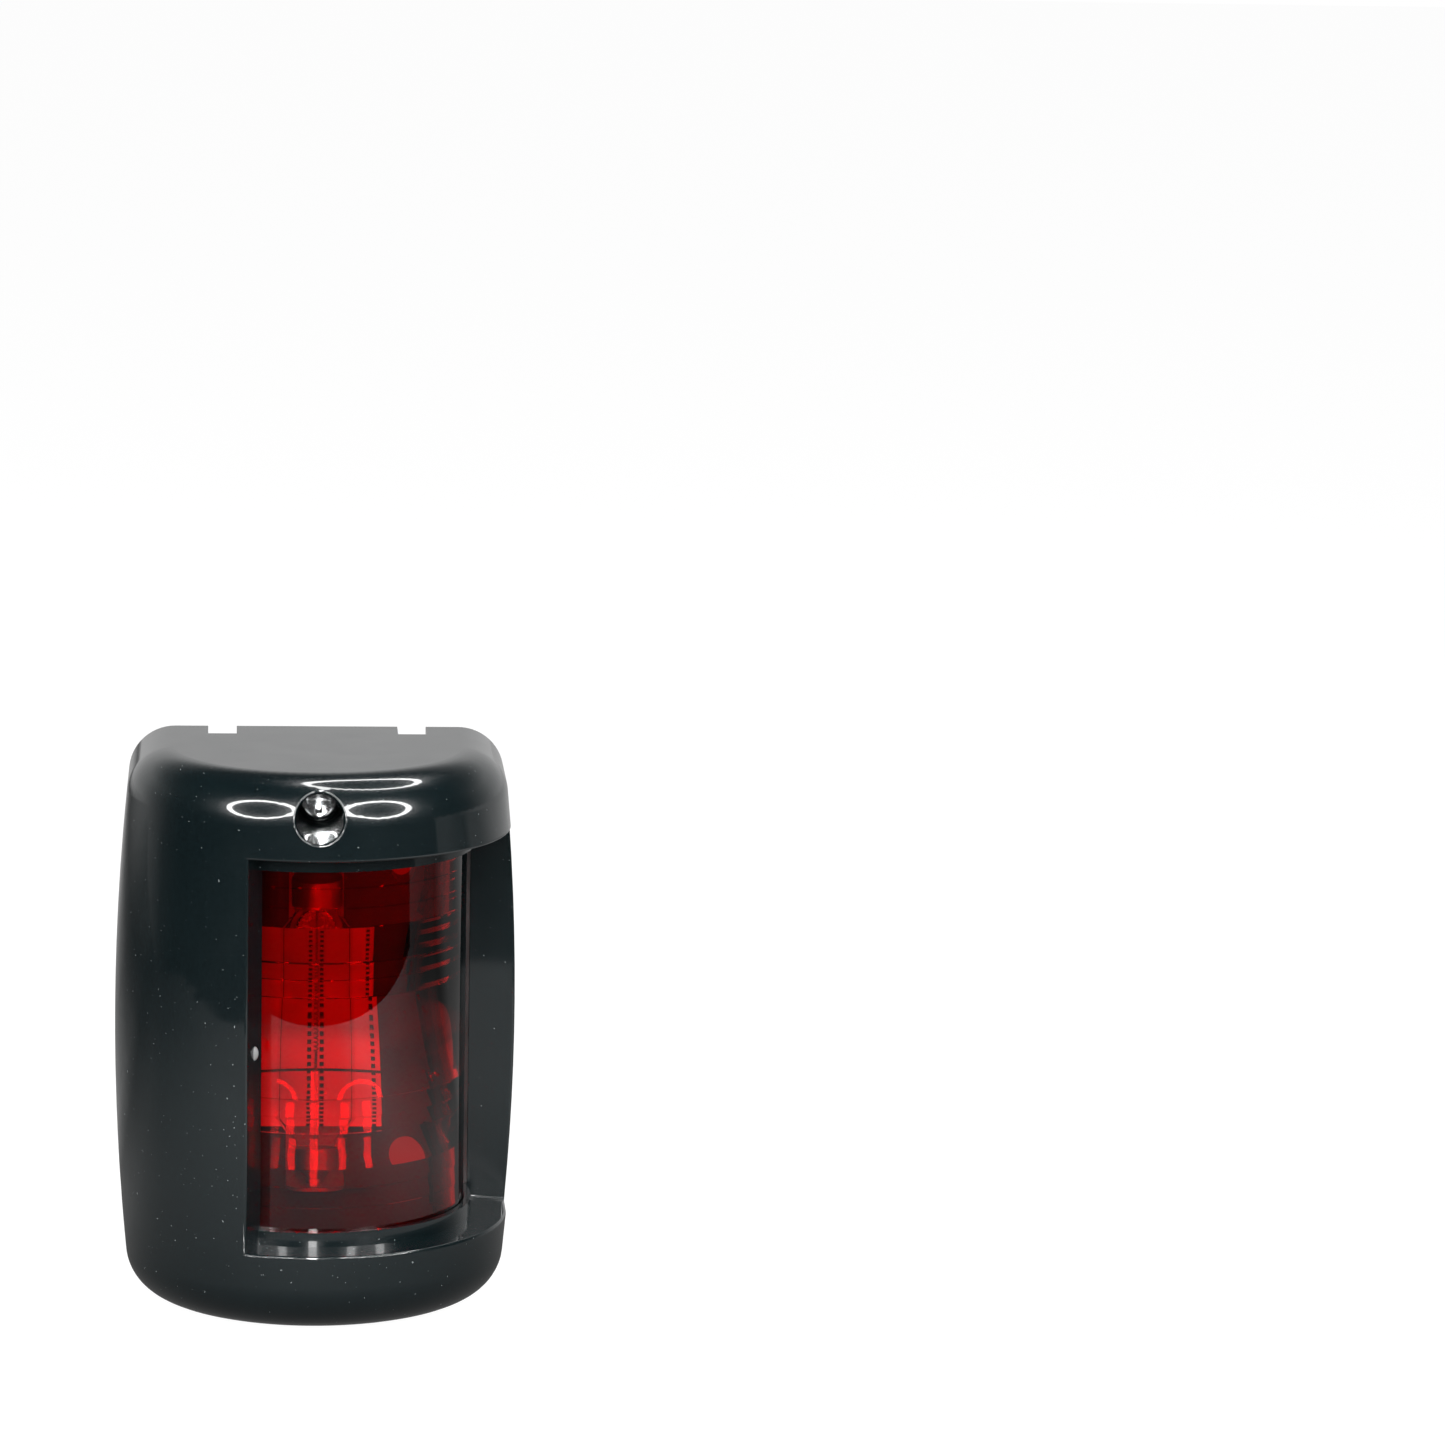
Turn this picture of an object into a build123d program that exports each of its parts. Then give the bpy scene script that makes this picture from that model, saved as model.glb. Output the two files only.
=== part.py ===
from build123d import *
import math
import os

# A compact side navigation light for a small boat, in millimetres.
# +X points to the open side of the window, +Z up. The flat rear face that lies on
# the boat is at y = 0, and the light stands forward of it along -Y.

# Cover
height = 77.3
width_mid = 56.0
width_end = 51.5
depth = 42.0
side_wall = 1.5
top_wall = 1.9
front_wall = 1.7
corner_r = 6.5
notch_w = 4.0
notch_x = 13.3
notch_run = 6.0
hook_w = 12.7
hook_h = 2.7

# Lens and window
lens_r = 20.8
lens_wall = 2.0
lens_half_h = 26.8
lens_setback = 5.5
bulb_y = -(depth - lens_setback - lens_r)
window_half_h = 27.2
kerb_h = 2.0
kerb_r = 21.9
ledge_slope = 0.05
edge_round = 0.35
cutoff_angle = 21.5
lens_left_angle = 36.0
lens_right_angle = 118.0
panel_y = -10.0
panel_gap_r = 22.3
frame_wall = 1.5
lens_gap = 0.15
seal_gap = 0.02
gasket_t = 0.3
zone_edges = (7.1, 9.6, 11.9, 16.9, 19.6, 22.4, 25.2)
outer_zone_z = 16.0
zone_slope = 0.36
outer_zone_slope = 0.12
bullseye_rise = 0.9

# Base plate
plate_mid = 52.6
plate_end = 48.1
plate_h = 73.1
plate_t = 4.0
plate_corner = 4.9
pad_w = 17.0
pad_h = 50.0
pad_front = -6.0
recess_w = 13.2
recess_h = 45.5
recess_floor = -1.2
groove_out_w = 44.0
groove_out_h = 57.5
groove_r = 12.0
groove_w = 4.3
groove_d = 2.2
seal_cord_r = 1.5
hole_x = 13.15
hole_z = 16.9
fixing_r = 1.9
cable_r = 2.7
boss_z = 18.5
boss_r = 3.375
boss_hole_r = 1.4
mark_r = 2.4
mark_depth = 0.15

# Insert, screw and its pocket
screw_z = 33.2
insert_r = 3.15
insert_bore_r = 1.65
insert_back = -0.3
insert_front = -8.3
insert_boss_r = 4.6
insert_boss_front = -9.0
knurl_count = 24
knurl_r = 0.2
collar_back = -3.3
collar_front = -5.3
insert_mouth_r = 2.35
pocket_r = 3.25
pocket_tube_r = 4.9
pocket_floor = -24.7
pocket_rim_y = -36.0
shank_r = 1.95
shank_hole_r = 2.25
core_r = 1.6
head_r = 3.0
head_h = 2.6
head_round = 1.1
recess_span = 3.3
recess_web = 1.0
recess_depth = 1.7
recess_taper = 9.0
screw_length = 25.0
screw_seal_t = 0.8

# Bulb holder
rivet_z = 9.15
rivet_flange_r = 3.45
rivet_head_r = 3.1
rivet_head_t = 0.9
rivet_bore_r = 1.675
rivet_shank_r = 2.3
strip_w = 8.0
strip_t = 0.5
strip_inner_z = 5.2
leg_z = 22.2
leg_reach = 4.6
tip_hole_r = 1.28
terminal_r = 1.45
terminal_pilot_r = 1.25
terminal_head_r = 2.6
terminal_head_h = 1.7
terminal_back = -3.0
clamp_side = 6.0
clamp_t = 0.8

# Reflector, with sunk lines that part it into four panes
reflector_w = 18.4
reflector_low = -12.5
reflector_high = 7.7
reflector_back = -8.3
reflector_t = 1.0
line_depth = 0.5
dash_w = 0.6
dash_h = 0.38
dash_pitch = 0.6
dash_columns = (-0.9, 0.9, 8.2)
cross_line_z = -7.5
cross_line_w = 0.25
foot_x = 7.4
foot_w = 1.6
foot_h = 3.0
foot_places = (-9.0, 5.0)

# Festoon bulb, 11 mm by 42 mm
glass_r = 5.4
glass_wall = 0.5
glass_half = 13.0
neck_r = 3.1
neck_half = 16.5
cap_r = 3.6
cap_inner = 15.2
cone_start = 19.0
tip_start = 21.6
tip_r = 1.2
tip_end = 23.4
filament_r = 0.35
filament_half = 4.5
support_r = 0.2


def block(x, y, z):
    """A box between the low and high values given for each axis."""
    size = Box(x[1] - x[0], y[1] - y[0], z[1] - z[0])
    return Pos((x[0] + x[1]) / 2, (y[0] + y[1]) / 2, (z[0] + z[1]) / 2) * size


def rod_y(r, x, z, back, front):
    """A round rod along Y, from the higher y to the lower one."""
    return Pos(x, (back + front) / 2, z) * Rot(90, 0, 0) * Cylinder(r, back - front)


def rod_z(r, low, high):
    """A round rod on the bulb's axis."""
    return Pos(0, bulb_y, (low + high) / 2) * Cylinder(r, high - low)


def turned(points, y=0.0, angle=360.0):
    """A solid turned about the Z axis at depth y, from radius and height points."""
    outline = Polyline(*[(r, 0, z) for r, z in points], close=True)
    return Pos(0, y, 0) * revolve(make_face(outline), Axis.Z, angle)


def barrel(mid, end, tall, r):
    """The rear outline: bowed sides between a flat top and a flat bottom."""
    right = ThreePointArc((end / 2, -tall / 2), (mid / 2, 0), (end / 2, tall / 2))
    left = ThreePointArc((-end / 2, tall / 2), (-mid / 2, 0), (-end / 2, -tall / 2))
    top = Line((end / 2, tall / 2), (-end / 2, tall / 2))
    bottom = Line((-end / 2, -tall / 2), (end / 2, -tall / 2))
    face = make_face(bottom + right + top + left)
    return fillet(face.vertices(), r)


def body_section(half_w, front, back, z):
    """One level of the cover: straight sides that run into a rounded front."""
    reach = bulb_y - front
    sides = [Line((-half_w, back), (-half_w, bulb_y)), Line((half_w, bulb_y), (half_w, back))]
    nose = EllipticalCenterArc((0, bulb_y), half_w, reach, 180, arc_size=180)
    rear = Line((half_w, back), (-half_w, back))
    return Pos(0, 0, z) * make_face(sides[0] + nose + sides[1] + rear)


def bowed_body(side, top, front, back, r):
    """The cover's rounded form, set in by the walls given."""
    half_h = height / 2 - top
    mid = width_mid / 2 - side
    end = width_end / 2 - side
    levels = ((-half_h, end), (0, mid), (half_h, end))
    body = loft([body_section(w, -depth + front, back, z) for z, w in levels])
    faces = [body.faces().sort_by(Axis.Z)[0], body.faces().sort_by(Axis.Z)[-1]]
    rims = [e for f in faces for e in f.edges() if e.center().Y < back - 0.5]
    return fillet(rims, r)


def window_space(grow, half_h, kerb):
    """The open window, from the cut-off wall round to the open side.

    Its ledges fall away slightly to the front, and a low kerb stands round the lens."""
    turn = math.radians(cutoff_angle)
    far = 70.0
    across = (-math.cos(turn) * grow, math.sin(turn) * grow)
    near = (across[0], bulb_y + across[1])
    left = (near[0] - math.sin(turn) * far, near[1] - math.cos(turn) * far)
    points = [near, left, (far, left[1]), (far, panel_y + grow), (near[0], panel_y + grow)]
    plan = make_face(Polyline(*points, close=True))
    prism = Pos(0, 0, -height) * extrude(plan, height * 2)
    profile = [(0, kerb - half_h)]
    if kerb:
        profile += [(kerb_r, kerb - half_h)]
    profile += [(kerb_r, -half_h), (far, -half_h - ledge_slope * (far - kerb_r))]
    profile += [(r, -z) for r, z in reversed(profile)]
    return prism & turned(profile, bulb_y)


def lens_socket():
    """The room that the lens, its gaskets and the bulb take up inside the cover."""
    half_h = lens_half_h + gasket_t
    seal_half_h = window_half_h - kerb_h
    socket = rod_z(lens_r + lens_gap, -half_h, half_h)
    deep = rod_z(lens_r - lens_wall - 0.3, -height / 2, height / 2)
    seal_room = rod_z(panel_gap_r, -seal_half_h, seal_half_h)
    seal_room &= block((0, 40), (panel_y - 0.01, 0), (-40, 40))
    return socket, deep, seal_room


def soften_window(cover):
    """Rounds the outer edges of the window and the pocket a little, as a moulding has them."""
    ledge_z = window_half_h
    rims = []
    for edge in cover.edges():
        at = edge.center()
        out = math.hypot(at.X, at.Y - bulb_y)
        on_ledge = edge.length > 5 and ledge_z < abs(at.Z) < ledge_z + 0.5 and out > kerb_r + 0.6
        long_upright = abs(at.Z) < 1 and edge.length > 45 and edge.geom_type != GeomType.LINE
        cutoff_edge = long_upright and -10.2 < at.X < -9.0 and at.Y < -39
        panel_edge = long_upright and at.X > width_mid / 2 - 0.1 and abs(at.Y - panel_y) < 0.5
        from_screw = math.hypot(at.X, at.Z - screw_z)
        pocket_rim = at.Y < pocket_rim_y and abs(from_screw - pocket_r) < 0.1 and edge.length > 5
        if on_ledge or cutoff_edge or panel_edge or pocket_rim:
            rims.append(edge)
    return cover.fillet(edge_round, rims)


def make_cover():
    outer = bowed_body(0, 0, 0, 0, corner_r)
    inner = bowed_body(side_wall, top_wall, front_wall, 5, corner_r - side_wall)
    shell = outer - inner
    socket, deep, seal_room = lens_socket()
    frame_part = window_space(frame_wall, window_half_h + frame_wall, 0) & outer
    frame_part -= socket
    frame_part -= deep
    shell += frame_part
    shell -= window_space(0, window_half_h, kerb_h)
    shell -= seal_room
    tube = rod_y(pocket_tube_r, 0, screw_z, insert_boss_front - 0.4, -depth) & outer
    shell += tube
    shell -= rod_y(pocket_r, 0, screw_z, pocket_floor, -depth - 1)
    shell -= rod_y(shank_hole_r, 0, screw_z, 0, pocket_floor - 1)
    half = height / 2
    for side in (-1, 1):
        middle = side * notch_x
        shell -= block((middle - notch_w / 2, middle + notch_w / 2), (-notch_run, 1), (half - 5, half + 1))
    hook = block((-hook_w / 2, hook_w / 2), (-plate_t + 0.1, 0), (-half + 1, -half + top_wall + hook_h))
    return soften_window(shell + hook)


def lens_arc(inner_r, outer_r, low, high, start, stop):
    """A curved wall about the bulb's axis; angles run from straight ahead to +X."""
    points = [(inner_r, low), (outer_r, low), (outer_r, high), (inner_r, high)]
    wall = turned(points, 0, stop - start)
    return Pos(0, bulb_y, 0) * Rot(0, 0, -90 + start) * wall


def make_lens():
    """A round lens: a bowed middle and stepped prism zones on its inner face."""
    inner_r = lens_r - lens_wall
    middle = zone_edges[0]
    zones = []
    for near, far in zip(zone_edges, zone_edges[1:]):
        slope = outer_zone_slope if near > outer_zone_z else zone_slope
        zones += [(inner_r - slope * (far - near), near), (inner_r, far)]
    above = [(inner_r, middle)] + zones + [(inner_r, lens_half_h), (lens_r, lens_half_h)]
    below = [(r, -z) for r, z in reversed(above)]
    corners = above + below
    outline = Polyline(*[(r, 0, z) for r, z in corners])
    bow = ThreePointArc((inner_r, 0, -middle), (inner_r - bullseye_rise, 0, 0), (inner_r, 0, middle))
    sweep_angle = lens_left_angle + lens_right_angle
    lens = revolve(make_face(outline + bow), Axis.Z, sweep_angle)
    return Pos(0, bulb_y, 0) * Rot(0, 0, -90 - lens_left_angle) * lens


def make_lens_gasket(side):
    """The thin arc that seals one end of the lens against the cover."""
    low, high = sorted((side * lens_half_h, side * (lens_half_h + gasket_t)))
    return lens_arc(lens_r - lens_wall, lens_r, low, high, -lens_left_angle, lens_right_angle)


def make_side_seal():
    """The upright bead between the lens and the panel at the window's open side."""
    half_h = window_half_h - kerb_h - seal_gap
    ring = rod_z(panel_gap_r - seal_gap, -half_h, half_h)
    ring -= rod_z(lens_r + seal_gap, -height, height)
    return ring & block((15, 30), (panel_y + 0.2, panel_y + frame_wall), (-40, 40))


def make_plate():
    plate = extrude(Plane.XZ * barrel(plate_mid, plate_end, plate_h, plate_corner), plate_t)
    plate += block((-pad_w / 2, pad_w / 2), (pad_front, -plate_t), (-pad_h / 2, pad_h / 2))
    limit = extrude(Plane.XZ * barrel(plate_mid, plate_end, plate_h, plate_corner), 20)
    plate += rod_y(insert_boss_r, 0, screw_z, -plate_t, insert_boss_front) & limit
    plate -= block((-recess_w / 2, recess_w / 2), (recess_floor, 1), (-recess_h / 2, recess_h / 2))
    groove_in = RectangleRounded(groove_out_w - 2 * groove_w, groove_out_h - 2 * groove_w, groove_r - groove_w)
    groove = RectangleRounded(groove_out_w, groove_out_h, groove_r) - groove_in
    plate -= extrude(Plane.XZ * groove, groove_d)
    for side in (-1, 1):
        plate += rod_y(boss_r, 0, side * boss_z, -0.2, recess_floor)
        plate -= rod_y(boss_hole_r, 0, side * boss_z, 0, -2.2)
        plate -= rod_y(terminal_pilot_r, 0, side * boss_z, -2.8, pad_front - 1)
        plate -= rod_y(rivet_shank_r, 0, side * rivet_z, 0, pad_front - 1)
        plate -= rod_y(fixing_r, side * hole_x, side * hole_z, 1, -plate_t - 1)
        plate -= rod_y(cable_r, -side * hole_x, side * hole_z, 1, -plate_t - 1)
        plate -= block((side * notch_x - 2, side * notch_x + 2), (-9, 1), (plate_h / 2 - 2.3, plate_h / 2 + 1))
        plate -= rod_y(mark_r, side * (hole_x - 0.8), 0, 1, -mark_depth)
        for up in (-1, 1):
            plate -= rod_y(mark_r, side * 18.6, up * 30.1, 1, -mark_depth)
    plate -= rod_y(insert_r - 0.08, 0, screw_z, 1, insert_boss_front - 1)
    low = -plate_h / 2
    return plate - block((-hook_w / 2 - 0.2, hook_w / 2 + 0.2), (-9, 1), (low - 1, low + hook_h + 0.3))


def make_base_seal():
    """The O-ring, standing proud of the groove that holds it."""
    middle_w = groove_out_w - groove_w
    middle_h = groove_out_h - groove_w
    path = RectangleRounded(middle_w, middle_h, groove_r - groove_w / 2).wire()
    path = Plane.XZ.offset(groove_d - seal_cord_r - 0.02) * path
    section = Plane(path @ 0, z_dir=path % 0) * Circle(seal_cord_r)
    return sweep(section, path=path)


def make_insert():
    """A brass insert with two knurled bands and a smooth collar between them."""
    body = rod_y(insert_r, 0, screw_z, insert_back, insert_front)
    body -= rod_y(insert_bore_r, 0, screw_z, 1, insert_front - 1)
    for n in range(knurl_count):
        turn = 2 * math.pi * n / knurl_count
        x = insert_r * math.sin(turn)
        z = screw_z + insert_r * math.cos(turn)
        for back, front in ((insert_back + 0.5, collar_back), (collar_front, insert_front - 0.5)):
            body -= rod_y(knurl_r, x, z, back, front)
    mouth = Pos(0, insert_back - 0.3, screw_z) * Rot(90, 0, 0) * Cone(insert_mouth_r, insert_bore_r, 0.62)
    return body - mouth


def make_rivet(side):
    """A brass tube rivet: flange in the rear recess, rolled head on the strip."""
    z = side * rivet_z
    front = pad_front - strip_t
    rivet = rod_y(rivet_shank_r - 0.03, 0, z, recess_floor, front)
    rivet += rod_y(rivet_flange_r, 0, z, recess_floor + 0.9, recess_floor)
    rivet += rod_y(rivet_head_r, 0, z, front, front - rivet_head_t)
    ends = [e for e in rivet.edges().filter_by(GeomType.CIRCLE) if e.radius > 3]
    rivet = fillet(ends, 0.35)
    return rivet - rod_y(rivet_bore_r, 0, z, 1, front - 3)


def make_contact(side):
    """A spring strip: foot on the pad, then a leg that stands forward to the bulb's tip."""
    back = pad_front
    inner, outer = sorted((side * strip_inner_z, side * (leg_z + strip_t)))
    leg_low, leg_high = sorted((side * leg_z, side * (leg_z + strip_t)))
    strip = block((-strip_w / 2, strip_w / 2), (back - strip_t, back), (inner, outer))
    front = bulb_y - leg_reach
    leg = block((-strip_w / 2, strip_w / 2), (front, back), (leg_low, leg_high))
    corners = [e for e in leg.edges().filter_by(Axis.Z) if e.center().Y < front + 1]
    strip += fillet(corners, 3.0)
    strip -= rod_y(rivet_shank_r, 0, side * rivet_z, 0, back - 1)
    strip -= rod_y(terminal_r + 0.15, 0, side * boss_z, 0, back - 1)
    return strip - rod_z(tip_hole_r, leg_low - 1, leg_high + 1)


def make_clamp(side):
    """The square washer that presses the wire on the strip."""
    back = pad_front - strip_t
    half = clamp_side / 2
    z = side * boss_z
    clamp = block((-half, half), (back - clamp_t, back), (z - half, z + half))
    clamp = fillet(clamp.edges().filter_by(Axis.Y), 0.8)
    return clamp - rod_y(terminal_r + 0.15, 0, z, 0, back - 2)


def make_terminal_screw(side):
    """A slotted pan-head screw that forms its own thread in the plate."""
    z = side * boss_z
    under = pad_front - strip_t - clamp_t
    screw = rod_y(terminal_r, 0, z, terminal_back, under)
    head = rod_y(terminal_head_r, 0, z, under, under - terminal_head_h)
    rim = [e for e in head.edges().filter_by(GeomType.CIRCLE) if e.center().Y < under - 1]
    screw += fillet(rim, 0.7)
    return screw - block((-3, 3), (under - 2, under - 0.9), (z - 0.4, z + 0.4))


def make_reflector():
    """A pale panel on four feet; dashed upright lines and a cross line part it into panes."""
    w = reflector_w / 2
    front = reflector_back - reflector_t
    sunk = front + line_depth
    panel = block((-w, w), (front, reflector_back), (reflector_low, reflector_high))
    lines = [block((-w - 1, w + 1), (front - 1, sunk), (cross_line_z, cross_line_z + cross_line_w))]
    dashes = int((reflector_high - reflector_low) / dash_pitch)
    for x in dash_columns:
        for n in range(dashes):
            z = reflector_low + n * dash_pitch
            lines.append(block((x - dash_w / 2, x + dash_w / 2), (front - 1, sunk), (z, z + dash_h)))
    panel -= lines
    for x in (-foot_x, foot_x):
        for z in foot_places:
            across = (x - foot_w / 2, x + foot_w / 2)
            panel += block(across, (reflector_back, pad_front), (z - foot_h / 2, z + foot_h / 2))
    return panel


def make_glass():
    outside = [(neck_r, neck_half), (neck_r, glass_half + 1.2), (glass_r, glass_half - 2.0)]
    inside = [(r - glass_wall, z) for r, z in outside]
    right = outside + [(r, -z) for r, z in reversed(outside)]
    left = [(r, -z) for r, z in inside] + list(reversed(inside))
    return turned(right + left, bulb_y)


def make_bulb_cap(side):
    """A metal cap that ends in a cone and a small round tip."""
    outside = [(neck_r + 0.02, cap_inner), (cap_r, cap_inner), (cap_r, cone_start), (tip_r, tip_start)]
    end = [(tip_r, tip_end - 0.5), (tip_r - 0.5, tip_end), (0, tip_end), (0, neck_half)]
    points = outside + end + [(neck_r + 0.02, neck_half)]
    return turned([(r, side * z) for r, z in points], bulb_y)


def make_support(side):
    """One of the stiff wires that carry the filament."""
    low, high = sorted((side * filament_half, side * neck_half))
    return rod_z(support_r, low, high)


def make_screw_seal():
    ring = rod_y(head_r - 0.1, 0, screw_z, pocket_floor, pocket_floor - screw_seal_t)
    return ring - rod_y(shank_r + 0.1, 0, screw_z, 0, -40)


def make_screw():
    """The long screw: cross-recessed pan head, plain shank, core-size stretch in the insert."""
    under = pocket_floor - screw_seal_t
    tip = under + screw_length
    screw = rod_y(core_r, 0, screw_z, tip, insert_boss_front)
    screw += rod_y(shank_r, 0, screw_z, insert_boss_front, under)
    head = rod_y(head_r, 0, screw_z, under, under - head_h)
    rim = [e for e in head.edges().filter_by(GeomType.CIRCLE) if e.center().Y < under - 1]
    screw += fillet(rim, head_round)
    mouth = Plane((0, under - head_h, screw_z), x_dir=(1, 0, 0), z_dir=(0, 1, 0))
    cross = Rectangle(recess_span, recess_web) + Rectangle(recess_web, recess_span)
    screw -= extrude(mouth * cross, recess_depth, taper=recess_taper)
    return screw


def make_parts():
    parts = {
        "base_plate": make_plate(),
        "base_seal": make_base_seal(),
        "threaded_insert": make_insert(),
        "reflector": make_reflector(),
        "bulb_glass": make_glass(),
        "filament": rod_z(filament_r, -filament_half, filament_half),
        "cover": make_cover(),
        "lens": make_lens(),
        "lens_side_seal": make_side_seal(),
        "screw_seal": make_screw_seal(),
        "retaining_screw": make_screw(),
    }
    for name, side in (("upper", 1), ("lower", -1)):
        parts[name + "_rivet"] = make_rivet(side)
        parts[name + "_contact"] = make_contact(side)
        parts[name + "_wire_clamp"] = make_clamp(side)
        parts[name + "_terminal_screw"] = make_terminal_screw(side)
        parts[name + "_bulb_cap"] = make_bulb_cap(side)
        parts[name + "_filament_support"] = make_support(side)
        parts[name + "_lens_gasket"] = make_lens_gasket(side)
    return parts


os.makedirs("parts", exist_ok=True)
for node, shape in make_parts().items():
    shape.label = node
    export_step(shape, f"parts/{node}.step")
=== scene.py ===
import bmesh
import bpy
import math
from mathutils import Matrix, Vector


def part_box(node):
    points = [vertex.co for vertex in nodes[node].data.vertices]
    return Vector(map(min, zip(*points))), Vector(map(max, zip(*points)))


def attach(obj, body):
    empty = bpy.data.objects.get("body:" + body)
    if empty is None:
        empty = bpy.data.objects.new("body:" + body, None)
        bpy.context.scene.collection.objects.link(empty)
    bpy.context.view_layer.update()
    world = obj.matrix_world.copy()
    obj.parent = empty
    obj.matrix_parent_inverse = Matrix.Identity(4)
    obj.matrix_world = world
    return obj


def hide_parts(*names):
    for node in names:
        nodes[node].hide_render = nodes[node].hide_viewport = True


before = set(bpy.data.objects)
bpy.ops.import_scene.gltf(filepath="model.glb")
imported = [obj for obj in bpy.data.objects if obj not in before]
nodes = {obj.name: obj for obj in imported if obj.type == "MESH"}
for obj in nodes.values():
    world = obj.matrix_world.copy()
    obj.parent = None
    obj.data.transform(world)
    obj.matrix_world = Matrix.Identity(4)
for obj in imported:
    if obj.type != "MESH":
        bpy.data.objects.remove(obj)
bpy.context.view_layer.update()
MM = 0.001

# ---------------------------------------------------------------- driving sizes
COVER_LOW, COVER_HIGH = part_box("cover")
HEIGHT = COVER_HIGH.z - COVER_LOW.z
DEPTH = -COVER_LOW.y
LENS_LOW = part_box("lens")[0]
BULB_LOW, BULB_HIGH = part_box("bulb_glass")
BULB_Y = (BULB_LOW.y + BULB_HIGH.y) / 2

COIL_R = 0.27 * MM
COIL_TURNS = 22
COIL_WIRE_R = 0.07 * MM
THREAD_R = 1.64 * MM
THREAD_PITCH = 0.7 * MM
THREAD_WIRE_R = 0.2 * MM
THREAD_PAST_INSERT = 0.9 * MM
THREAD_TIP_GAP = 0.5 * MM
# The bead's half sizes in millimetres, and its place from the lens's lowest corner in metres.
BEAD_HALF_X, BEAD_HALF_Y, BEAD_HALF_Z = 0.75, 0.5, 1.05
BEAD_FROM_LENS = Vector((3.4 * MM, -1.0 * MM, 0))

# Colours and optics.
BRASS = (0.87, 0.61, 0.17)
NICKEL = (0.70, 0.68, 0.62)
STEEL = (0.72, 0.73, 0.74)
TARNISH = 0.12
LENS_COLOUR = (0.82, 0.004, 0.02)
LENS_SHADOW = (0.85, 0.01, 0.02)
LENS_SOAK_COLOUR = (0.97, 0.0, 0.02)
LENS_SOAK = 3000
LENS_IOR = 1.49
BULB_GLASS_IOR = 1.02

# The camera's place in metres, its angles in radians and its focal length in millimetres.
CAMERA_AT = Vector((-10.4, -867.3, 194.2)) * MM
CAMERA_YAW = 0.078
CAMERA_PITCH = 0.176
CAMERA_ROLL = 0.019
CAMERA_LENS = 155.2

# The table's front edge is an arc about the light, between two angles in degrees from straight ahead.
TABLE_EDGE = 0.2
TABLE_CENTRE_Y = -0.022
TABLE_ARC_LEFT = -97
TABLE_ARC_RIGHT = 74
TABLE_ARC_STEP = 3
TABLE_ROUND_TO = 80
TABLE_FLATNESS = 0.2
TABLE_SIDE = 0.27
TABLE_GLOW = 1.5
TABLE_FAR = 3.0
TABLE_GAP = 0.0003
TABLE_SHADE = 0.12
TABLE_SHOWN_GLOW = 1.1
ROOM_GLOW = 0.022
SCREEN_GLOW = 0.7

# Ring lamps: name, azimuth and elevation in degrees, distance, radius, tube radius, strength.
RINGS = (
    ("ring_left", -38, 28, 0.45, 0.155, 0.015, 30),
    ("ring_right", 39, 28, 0.45, 0.15, 0.015, 30),
    ("ring_top", 137, 70, 0.42, 0.125, 0.011, 19),
)
STRIP_AZIMUTH, STRIP_LOWEST, STRIP_HIGHEST = -2, 5, 58
STRIP_REACH = 1.1
STRIP_HALF_W = 0.055
STRIP_GLOW = 30


# ---------------------------------------------------------------- node helpers
def new_material(name):
    material = bpy.data.materials.new(name)
    material.use_nodes = True
    tree = material.node_tree
    shader = tree.nodes["Principled BSDF"]
    return material, tree, shader


def add_node(tree, kind, **values):
    """Adds a node and sets its properties."""
    node = tree.nodes.new(kind)
    for key, value in values.items():
        setattr(node, key, value)
    return node


def object_coordinates(tree):
    return add_node(tree, "ShaderNodeTexCoord").outputs["Object"]


def coordinates_apart(tree, where):
    """The X, Y and Z of a place, as outputs by name."""
    split = add_node(tree, "ShaderNodeSeparateXYZ")
    tree.links.new(where, split.inputs["Vector"])
    return split.outputs


def noise(tree, where, scale, detail):
    node = add_node(tree, "ShaderNodeTexNoise")
    node.inputs["Scale"].default_value = scale
    node.inputs["Detail"].default_value = detail
    tree.links.new(where, node.inputs["Vector"])
    return node.outputs["Fac"]


def ramp(tree, value, stops):
    """A colour ramp from (place, grey or colour) stops."""
    node = add_node(tree, "ShaderNodeValToRGB")
    while len(node.color_ramp.elements) < len(stops):
        node.color_ramp.elements.new(0.5)
    for element, (place, colour) in zip(node.color_ramp.elements, stops):
        element.position = place
        if isinstance(colour, (int, float)):
            colour = (colour, colour, colour)
        element.color = (*colour, 1)
    tree.links.new(value, node.inputs["Fac"])
    return node.outputs["Color"]


def span(tree, value, low_out, high_out, low_in=0.0, high_in=1.0):
    """Maps one range of a value to another, and holds it there."""
    node = add_node(tree, "ShaderNodeMapRange")
    node.inputs["From Min"].default_value = low_in
    node.inputs["From Max"].default_value = high_in
    node.inputs["To Min"].default_value = low_out
    node.inputs["To Max"].default_value = high_out
    tree.links.new(value, node.inputs["Value"])
    return node.outputs["Result"]


def multiply(tree, a, b):
    node = add_node(tree, "ShaderNodeMath", operation="MULTIPLY")
    tree.links.new(a, node.inputs[0])
    tree.links.new(b, node.inputs[1])
    return node.outputs[0]


def mix_colours(tree, share, first, second):
    """Colour first, with a share of colour second over it."""
    node = add_node(tree, "ShaderNodeMixRGB")
    tree.links.new(share, node.inputs["Fac"])
    tree.links.new(first, node.inputs["Color1"])
    node.inputs["Color2"].default_value = (*second, 1)
    return node.outputs["Color"]


def bump(tree, shader, height, strength, distance):
    node = add_node(tree, "ShaderNodeBump")
    node.inputs["Strength"].default_value = strength
    node.inputs["Distance"].default_value = distance
    tree.links.new(height, node.inputs["Height"])
    tree.links.new(node.outputs["Normal"], shader.inputs["Normal"])


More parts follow.
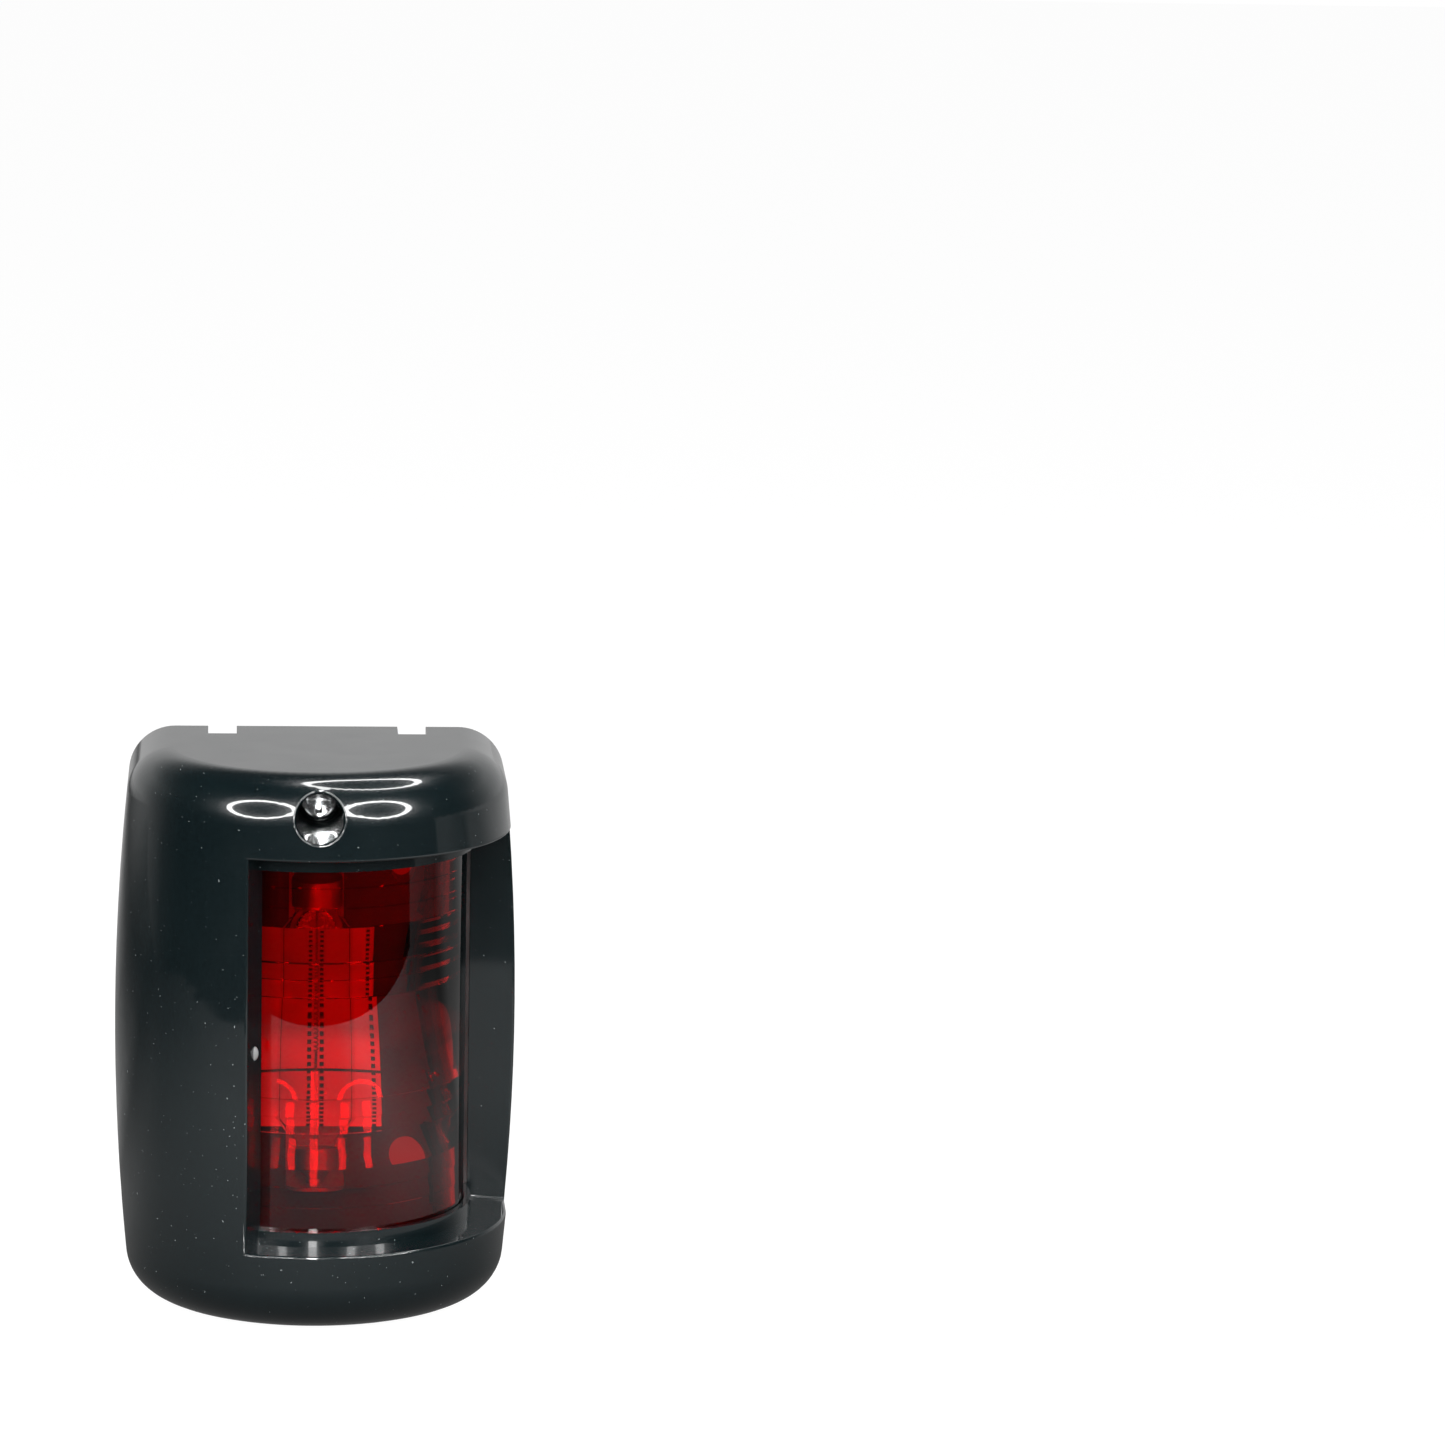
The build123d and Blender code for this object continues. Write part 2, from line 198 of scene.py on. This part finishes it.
# ---------------------------------------------------------------- materials
def dust_on(tree, where, tone, amount, colour):
    """Scatters fine pale specks over a base colour."""
    specks = ramp(tree, noise(tree, where, 2400, 1), [(0.0, 0.0), (1 - amount, 0.0), (1.03 - amount, 1.0)])
    return mix_colours(tree, specks, tone, colour)


def polished_black():
    """The cover: polished blue-black moulding with a soft second gloss, dust and faint flow."""
    material, tree, shader = new_material("cover_polished_black")
    where = object_coordinates(tree)
    cloud = noise(tree, where, 60, 2)
    tone = ramp(tree, cloud, [(0.3, (0.0016, 0.0044, 0.0052)), (0.7, (0.0026, 0.0058, 0.0066))])
    tree.links.new(dust_on(tree, where, tone, 0.235, (0.16, 0.18, 0.18)), shader.inputs["Base Color"])
    shader.inputs["IOR"].default_value = 1.5
    shader.inputs["Specular IOR Level"].default_value = 0.22
    shader.inputs["Coat Weight"].default_value = 0.88
    shader.inputs["Coat Roughness"].default_value = 0.045
    tree.links.new(span(tree, noise(tree, where, 190, 4), 0.2, 0.3), shader.inputs["Roughness"])
    bump(tree, shader, noise(tree, where, 45, 2), 0.12, 0.0004)
    return material


def matt_plastic(name, tone):
    """A matt moulding with a fine spark-eroded texture."""
    material, tree, shader = new_material(name)
    where = object_coordinates(tree)
    cloud = noise(tree, where, 120, 4)
    grey = ramp(tree, cloud, [(0.3, tone * 0.85), (0.7, tone * 1.2)])
    tree.links.new(grey, shader.inputs["Base Color"])
    tree.links.new(span(tree, cloud, 0.42, 0.58), shader.inputs["Roughness"])
    bump(tree, shader, noise(tree, where, 5200, 2), 0.35, 0.00006)
    return material


def rubber():
    """The seals: black rubber, greasy in places."""
    material, tree, shader = new_material("seal_rubber_black")
    where = object_coordinates(tree)
    grease = noise(tree, where, 260, 4)
    tone = ramp(tree, grease, [(0.35, 0.012), (0.7, 0.02)])
    tree.links.new(tone, shader.inputs["Base Color"])
    tree.links.new(span(tree, grease, 0.22, 0.5), shader.inputs["Roughness"])
    bump(tree, shader, noise(tree, where, 900, 3), 0.2, 0.00008)
    return material


def metal(name, colour, rough):
    """A bare metal with fine tool marks and slight tarnish, between two roughnesses."""
    material, tree, shader = new_material(name)
    where = object_coordinates(tree)
    marks = noise(tree, where, 2400, 3)
    tarnish = noise(tree, where, 330, 4)
    dark = tuple(c * (1 - TARNISH) for c in colour)
    tree.links.new(ramp(tree, tarnish, [(0.35, dark), (0.65, colour)]), shader.inputs["Base Color"])
    shader.inputs["Metallic"].default_value = 1.0
    tree.links.new(span(tree, marks, *rough), shader.inputs["Roughness"])
    bump(tree, shader, marks, 0.02, 0.00002)
    return material


def pale_plastic():
    """The reflector: a pale moulding with painted shade, darker above its cross line, with dark sunk lines
    and back.
    """
    material, tree, shader = new_material("reflector_pale_plastic")
    where = object_coordinates(tree)
    cloud = noise(tree, where, 160, 3)
    at = coordinates_apart(tree, where)
    low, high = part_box("reflector")
    plastic_tone = ramp(tree, cloud, [(0.3, (0.82, 0.82, 0.8)), (0.7, (0.9, 0.9, 0.88))])
    # Painted shade: the tone darkens by height, most above the cross line, standing in for how the lamps
    # fall on it.
    painted_shade = ramp(tree, span(tree, at["Z"], 0, 1, low.z, high.z), [
        (0.0, 0.95), (0.17, 0.7), (0.24, 0.78), (0.31, 1.0),
        (0.37, 0.92), (0.42, 0.52), (0.62, 0.42), (1.0, 0.46),
    ])
    # Multiplies the painted shade into the plastic's own tone.
    shaded = add_node(tree, "ShaderNodeMixRGB", blend_type="MULTIPLY")
    shaded.inputs["Fac"].default_value = 1.0
    tree.links.new(plastic_tone, shaded.inputs["Color1"])
    tree.links.new(painted_shade, shaded.inputs["Color2"])
    sunk = span(tree, at["Y"], 0, 1, low.y + 0.1 * MM, low.y + 0.2 * MM)
    tone = mix_colours(tree, sunk, shaded.outputs["Color"], (0.02, 0.02, 0.02))
    tree.links.new(tone, shader.inputs["Base Color"])
    tree.links.new(span(tree, cloud, 0.3, 0.42), shader.inputs["Roughness"])
    bump(tree, shader, noise(tree, where, 1400, 2), 0.1, 0.00004)
    return material


def lamp_passing_glass(name, colour, ior, shade, coat=0.0, gloss=0.5, soak=0.0):
    """Clear moulding or glass whose shadow lets light of colour shade through."""
    material, tree, shader = new_material(name)
    shader.inputs["Base Color"].default_value = (*colour, 1)
    shader.inputs["Transmission Weight"].default_value = 1.0
    shader.inputs["Roughness"].default_value = 0.0
    shader.inputs["IOR"].default_value = ior
    shader.inputs["Specular IOR Level"].default_value = gloss
    shader.inputs["Coat Weight"].default_value = coat
    shader.inputs["Coat Roughness"].default_value = 0.01
    clear = add_node(tree, "ShaderNodeBsdfTransparent")
    clear.inputs["Color"].default_value = (*shade, 1)
    path = add_node(tree, "ShaderNodeLightPath")
    mix = add_node(tree, "ShaderNodeMixShader")
    tree.links.new(path.outputs["Is Shadow Ray"], mix.inputs["Fac"])
    tree.links.new(shader.outputs["BSDF"], mix.inputs[1])
    tree.links.new(clear.outputs["BSDF"], mix.inputs[2])
    tree.links.new(mix.outputs["Shader"], tree.nodes["Material Output"].inputs["Surface"])
    if soak:
        depth = add_node(tree, "ShaderNodeVolumeAbsorption")
        depth.inputs["Color"].default_value = (*LENS_SOAK_COLOUR, 1)
        depth.inputs["Density"].default_value = soak
        tree.links.new(depth.outputs["Volume"], tree.nodes["Material Output"].inputs["Volume"])
    return material


materials = {
    "cover": polished_black(),
    "base_plate": matt_plastic("base_matt_black", 0.021),
    "rubber": rubber(),
    "brass": metal("brass_bright", BRASS, (0.18, 0.34)),
    "nickel": metal("nickel_plate", NICKEL, (0.24, 0.3)),
    "cap": metal("bulb_cap_dull", (0.46, 0.44, 0.4), (0.38, 0.46)),
    "strip": metal("contact_strip_dull", (0.3, 0.28, 0.24), (0.5, 0.54)),
    "droplet": matt_plastic("droplet_milky", 0.16),
    "steel": metal("stainless_polished", STEEL, (0.08, 0.2)),
    "tungsten": metal("tungsten_wire", (0.3, 0.29, 0.28), (0.3, 0.5)),
    "pale": pale_plastic(),
    "lens": lamp_passing_glass("lens_deep_red", LENS_COLOUR, LENS_IOR, LENS_SHADOW,
                               gloss=0.3, soak=LENS_SOAK),
    "glass": lamp_passing_glass("bulb_clear_glass", (0.99, 0.99, 0.99), BULB_GLASS_IOR, (0.95, 0.95, 0.95),
                                coat=0.35),
}

FINISH = {
    "cover": "cover", "base_plate": "base_plate", "base_seal": "rubber", "lens_side_seal": "rubber",
    "screw_seal": "rubber", "threaded_insert": "brass", "retaining_screw": "steel", "reflector": "pale",
    "lens": "lens", "bulb_glass": "glass", "filament": "tungsten",
}
for end in ("upper", "lower"):
    FINISH[end + "_rivet"] = "brass"
    FINISH[end + "_contact"] = "strip"
    FINISH[end + "_wire_clamp"] = "brass"
    FINISH[end + "_terminal_screw"] = "nickel"
    FINISH[end + "_bulb_cap"] = "cap"
    FINISH[end + "_filament_support"] = "tungsten"
    FINISH[end + "_lens_gasket"] = "rubber"
for node, finish in FINISH.items():
    slots = nodes[node].data.materials
    for n in range(len(slots)):
        slots[n] = materials[finish]


# ---------------------------------------------------------------- finer pieces
def wound_wire(name, axis, start, stop, radius, turns, thickness):
    """A round wire wound about a straight line from start to stop."""
    along = Vector(stop) - Vector(start)
    across = axis.orthogonal().normalized()
    up = axis.cross(across)
    curve = bpy.data.curves.new(name, "CURVE")
    curve.dimensions = "3D"
    curve.bevel_depth = thickness
    curve.bevel_resolution = 3
    line = curve.splines.new("POLY")
    steps = int(turns * 24)
    line.points.add(steps)
    for n in range(steps + 1):
        turn = 2 * math.pi * turns * n / steps
        at = Vector(start) + along * n / steps + (across * math.cos(turn) + up * math.sin(turn)) * radius
        line.points[n].co = (*at, 1)
    piece = bpy.data.objects.new(name, curve)
    bpy.context.scene.collection.objects.link(piece)
    return piece


def make_filament():
    """The coiled filament between the two stiff supports."""
    down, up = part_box("filament")
    reach = (up.z - down.z) / 2
    coil = wound_wire("filament_coil", Vector((0, 0, 1)), (0, BULB_Y, -reach), (0, BULB_Y, reach),
                      COIL_R, COIL_TURNS, COIL_WIRE_R)
    coil.data.materials.append(materials["tungsten"])
    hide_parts("filament")
    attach(coil, "bulb")


def make_screw_thread():
    """The M4 thread that stands on the screw's core where it runs in the insert."""
    down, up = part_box("retaining_screw")
    middle_z = (down.z + up.z) / 2
    tip = up.y - THREAD_TIP_GAP
    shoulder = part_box("threaded_insert")[0].y - THREAD_PAST_INSERT
    turns = (tip - shoulder) / THREAD_PITCH
    thread = wound_wire("screw_thread", Vector((0, 1, 0)), (0, shoulder, middle_z), (0, tip, middle_z),
                        THREAD_R, turns, THREAD_WIRE_R)
    thread.data.materials.append(materials["steel"])
    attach(thread, "screw")


def make_droplet():
    """A small milky bead on the cut-off wall, beside the lens."""
    mesh = bmesh.new()
    bmesh.ops.create_icosphere(mesh, subdivisions=4, radius=1.0)
    for vertex in mesh.verts:
        lean = 1 + 0.12 * vertex.co.z - 0.08 * vertex.co.x * vertex.co.z
        x, y, z = vertex.co
        vertex.co = Vector((x * BEAD_HALF_X * lean, y * BEAD_HALF_Y, z * BEAD_HALF_Z)) * MM
    data = bpy.data.meshes.new("droplet")
    mesh.to_mesh(data)
    mesh.free()
    data.shade_smooth()
    droplet = bpy.data.objects.new("droplet", data)
    droplet.location = Vector((LENS_LOW.x, LENS_LOW.y, 0)) + BEAD_FROM_LENS
    bpy.context.scene.collection.objects.link(droplet)
    data.materials.append(materials["droplet"])
    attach(droplet, "cover")


make_filament()
make_screw_thread()
make_droplet()


# ---------------------------------------------------------------- studio
def make_camera():
    data = bpy.data.cameras.new("camera")
    data.lens = CAMERA_LENS
    data.sensor_width = 36
    data.clip_start = 0.05
    data.clip_end = 20
    camera = bpy.data.objects.new("camera", data)
    forward = Vector((
        math.sin(CAMERA_YAW) * math.cos(CAMERA_PITCH),
        math.cos(CAMERA_YAW) * math.cos(CAMERA_PITCH),
        -math.sin(CAMERA_PITCH),
    ))
    right = Vector((math.cos(CAMERA_YAW), -math.sin(CAMERA_YAW), 0))
    up = right.cross(forward)
    turned_right = right * math.cos(CAMERA_ROLL) + up * math.sin(CAMERA_ROLL)
    turned_up = up * math.cos(CAMERA_ROLL) - right * math.sin(CAMERA_ROLL)
    turn = Matrix((turned_right, turned_up, -forward)).transposed().to_4x4()
    camera.matrix_world = Matrix.Translation(CAMERA_AT) @ turn
    bpy.context.scene.collection.objects.link(camera)
    bpy.context.scene.camera = camera


def seen_by_camera(tree, shown, elsewhere):
    """Gives the camera one shader and every reflection and lamp path another."""
    path = add_node(tree, "ShaderNodeLightPath")
    mix = add_node(tree, "ShaderNodeMixShader")
    tree.links.new(path.outputs["Is Camera Ray"], mix.inputs["Fac"])
    tree.links.new(elsewhere, mix.inputs[1])
    tree.links.new(shown, mix.inputs[2])
    return mix.outputs["Shader"]


def glow(tree, strength, kind="ShaderNodeEmission"):
    """A white light source whose strength is a number or a node's output."""
    node = add_node(tree, kind)
    if isinstance(strength, (int, float)):
        node.inputs["Strength"].default_value = strength
    else:
        tree.links.new(strength, node.inputs["Strength"])
    return node.outputs[0]


def table_outline():
    """The table's corners: an arc ahead of the light, then far out to the sides and behind."""
    down = -HEIGHT / 2 - TABLE_GAP
    corners = []
    for degrees in range(TABLE_ARC_LEFT, TABLE_ARC_RIGHT + 1, TABLE_ARC_STEP):
        a = math.radians(degrees)
        reach = TABLE_SIDE
        if abs(degrees) < TABLE_ROUND_TO:
            reach = min(TABLE_SIDE, TABLE_EDGE * math.cos(a) ** -TABLE_FLATNESS)
        corners.append((math.sin(a) * reach, TABLE_CENTRE_Y - math.cos(a) * reach, down))
    corners.append((TABLE_FAR, -TABLE_FAR / 3, down))
    corners.append((TABLE_FAR, TABLE_FAR, down))
    corners.append((-TABLE_FAR, TABLE_FAR, down))
    return corners


def table_white():
    """Near-white to the camera; to reflections it glows with painted light, bright ahead of the light and
    dim around it, with a painted shadow close under the light.
    """
    material, tree, shader = new_material("floor_pale")
    where = object_coordinates(tree)
    at = coordinates_apart(tree, where)
    # Painted light: the table's glow is brighter or dimmer by place, as the lamps would light it.
    ahead = ramp(tree, span(tree, at["Y"], 0, 1, -0.12, 0.08),
                 [(0.0, 1.0), (0.15, 0.82), (0.5, 0.5), (0.65, 0.46), (0.8, 0.28), (1.0, 0.14)])
    across = ramp(tree, span(tree, at["X"], 0, 1, -0.35, 0.35), [
        (0.0, 0.04), (0.2, 0.18), (0.3, 0.34), (0.36, 0.4),
        (0.57, 0.38), (0.65, 0.85), (0.73, 0.55), (0.86, 0.2),
    ])
    back = ramp(tree, span(tree, at["Y"], 0, 1, 0.0, 0.3),
                [(0.0, 0.0), (0.17, 0.12), (0.27, 0.2), (0.53, 0.15), (1.0, 0.3)])
    side = ramp(tree, span(tree, at["X"], 0, 1, -0.7, 0.35),
                [(0.1, 1.0), (0.29, 0.6), (0.43, 0.15), (0.48, 0.3), (0.57, 0.9), (0.66, 1.0)])
    brighter = add_node(tree, "ShaderNodeMath", operation="MAXIMUM")
    tree.links.new(multiply(tree, ahead, across), brighter.inputs[0])
    tree.links.new(multiply(tree, back, side), brighter.inputs[1])
    spread = add_node(tree, "ShaderNodeVectorMath", operation="LENGTH")
    tree.links.new(where, spread.inputs[0])
    # Painted shadow: the glow dims close under and around the light.
    painted_shadow_under = ramp(tree, span(tree, spread.outputs["Value"], 0, 1, 0.05, 0.09),
                 [(0.0, 0.36), (0.5, 0.8), (1.0, 1.0)])
    level = span(tree, multiply(tree, brighter.outputs[0], painted_shadow_under), 0.0, TABLE_GLOW)
    white = add_node(tree, "ShaderNodeBsdfDiffuse")
    white.inputs["Color"].default_value = (0.9, 0.9, 0.9, 1)
    shade = add_node(tree, "ShaderNodeMixShader")
    shade.inputs["Fac"].default_value = TABLE_SHADE
    tree.links.new(glow(tree, TABLE_SHOWN_GLOW), shade.inputs[1])
    tree.links.new(white.outputs["BSDF"], shade.inputs[2])
    surface = seen_by_camera(tree, shade.outputs["Shader"], glow(tree, level))
    tree.links.new(surface, tree.nodes["Material Output"].inputs["Surface"])
    return material


def make_floor():
    """A white table that ends in an arc in front of the light."""
    mesh = bpy.data.meshes.new("floor")
    corners = table_outline()
    mesh.from_pydata(corners, [], [range(len(corners))])
    mesh.materials.append(table_white())
    floor = bpy.data.objects.new("floor", mesh)
    bpy.context.scene.collection.objects.link(floor)


def make_world():
    """White to the camera; to the object a pale screen stands behind and the room is dark."""
    world = bpy.data.worlds.new("studio")
    bpy.context.scene.world = world
    world.use_nodes = True
    tree = world.node_tree
    direction = coordinates_apart(tree, add_node(tree, "ShaderNodeTexCoord").outputs["Generated"])
    behind = ramp(tree, span(tree, direction["Y"], 0, 1, -1, 1),
                  [(0.0, 0.0), (0.5, 0.01), (0.6, 0.1), (0.75, 0.6), (0.85, 1.0)])
    low_down = ramp(tree, span(tree, direction["Z"], 0, 1, 0, 1),
                    [(0.0, 1.0), (0.34, 0.95), (0.5, 0.35), (0.66, 0.03), (1.0, 0.02)])
    level = span(tree, multiply(tree, behind, low_down), ROOM_GLOW, SCREEN_GLOW)
    plain = tree.nodes["Background"]
    plain.inputs["Color"].default_value = (1, 1, 1, 1)
    surface = seen_by_camera(tree, plain.outputs["Background"], glow(tree, level, "ShaderNodeBackground"))
    tree.links.new(surface, tree.nodes["World Output"].inputs["Surface"])


def lamp_glow(name, power):
    """A black surface that gives white light."""
    material, tree, shader = new_material(name + "_glow")
    shader.inputs["Base Color"].default_value = (0, 0, 0, 1)
    shader.inputs["Emission Color"].default_value = (1, 1, 1, 1)
    shader.inputs["Emission Strength"].default_value = power
    return material


def towards(azimuth, elevation):
    """A direction from angles in radians; azimuth 0 is straight ahead of the light."""
    return Vector((
        math.sin(azimuth) * math.cos(elevation),
        -math.cos(azimuth) * math.cos(elevation),
        math.sin(elevation),
    ))


def light_up(lamp, power):
    """Gives a lamp its glow and keeps it out of the camera's view."""
    lamp.data.materials.append(lamp_glow(lamp.name, power))
    lamp.visible_camera = False


def ring_lamp(name, azimuth, elevation, distance, radius, thickness, power):
    """A round ring lamp that faces the top of the light."""
    target = Vector((0, -DEPTH * 0.85, HEIGHT * 0.45))
    away = towards(math.radians(azimuth), math.radians(elevation))
    bpy.ops.mesh.primitive_torus_add(
        major_radius=radius, minor_radius=thickness, major_segments=96, minor_segments=12)
    lamp = bpy.context.object
    lamp.name = name
    turn = away.to_track_quat("Z", "Y").to_matrix().to_4x4()
    lamp.matrix_world = Matrix.Translation(target + away * distance) @ turn
    light_up(lamp, power)


def front_strip():
    """A narrow upright strip lamp ahead of the light, bent along an arc about it."""
    steps = 16
    azimuth = math.radians(STRIP_AZIMUTH)
    side = Vector((math.cos(azimuth), math.sin(azimuth), 0)) * STRIP_HALF_W
    points = []
    for n in range(steps + 1):
        elevation = math.radians(STRIP_LOWEST + (STRIP_HIGHEST - STRIP_LOWEST) * n / steps)
        at = towards(azimuth, elevation) * STRIP_REACH
        points += [at - side, at + side]
    faces = [(2 * n, 2 * n + 1, 2 * n + 3, 2 * n + 2) for n in range(steps)]
    mesh = bpy.data.meshes.new("front_strip")
    mesh.from_pydata(points, [], faces)
    lamp = bpy.data.objects.new("front_strip", mesh)
    bpy.context.scene.collection.objects.link(lamp)
    light_up(lamp, STRIP_GLOW)


make_camera()
make_floor()
make_world()
for ring in RINGS:
    ring_lamp(*ring)
front_strip()
bpy.context.scene.view_settings.view_transform = "Standard"
